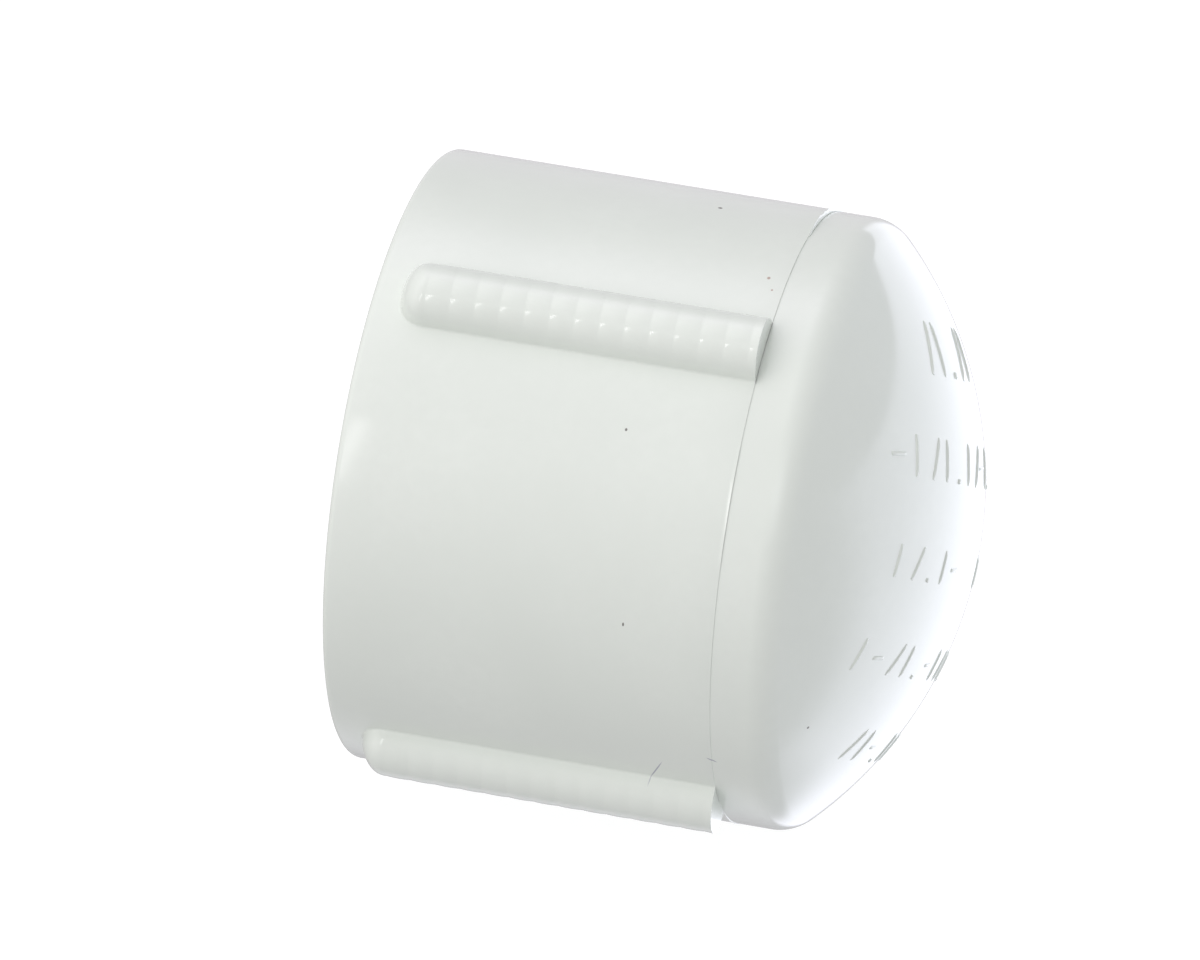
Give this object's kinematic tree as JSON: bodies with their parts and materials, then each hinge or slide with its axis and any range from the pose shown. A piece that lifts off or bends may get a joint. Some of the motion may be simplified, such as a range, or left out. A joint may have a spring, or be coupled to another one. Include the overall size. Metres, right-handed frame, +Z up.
{
  "type": "pipe cap",
  "caption": "Glossy white plastic slip-socket pipe cap, nominal 3/4 inch, with a shallow domed end and half-round grip ribs along its barrel, lying on its side.",
  "frame": {"origin": "on the cap's axis, halfway between the plane of the open mouth and the top of the dome", "axes": "+X runs along the axis from the open mouth to the domed end, +Z is up with the cap lying on its side, and the rib that chocks it is below the axis towards +Y"},
  "size_m": [0.0314, 0.0332, 0.0332],
  "materials": {
    "barrel_pvc": "as-moulded gloss, white PVC",
    "dome_pvc": "as-moulded gloss, white PVC, with raised marks",
    "rib_pvc": "as-moulded gloss, white PVC, with faint cutter steps along the crest"
  },
  "bodies": {
    "root": {"socket_barrel": "barrel_pvc", "domed_end": "dome_pvc", "grip_rib_1": "rib_pvc", "grip_rib_2": "rib_pvc", "grip_rib_3": "rib_pvc", "grip_rib_4": "rib_pvc"}
  },
  "joints": []
}
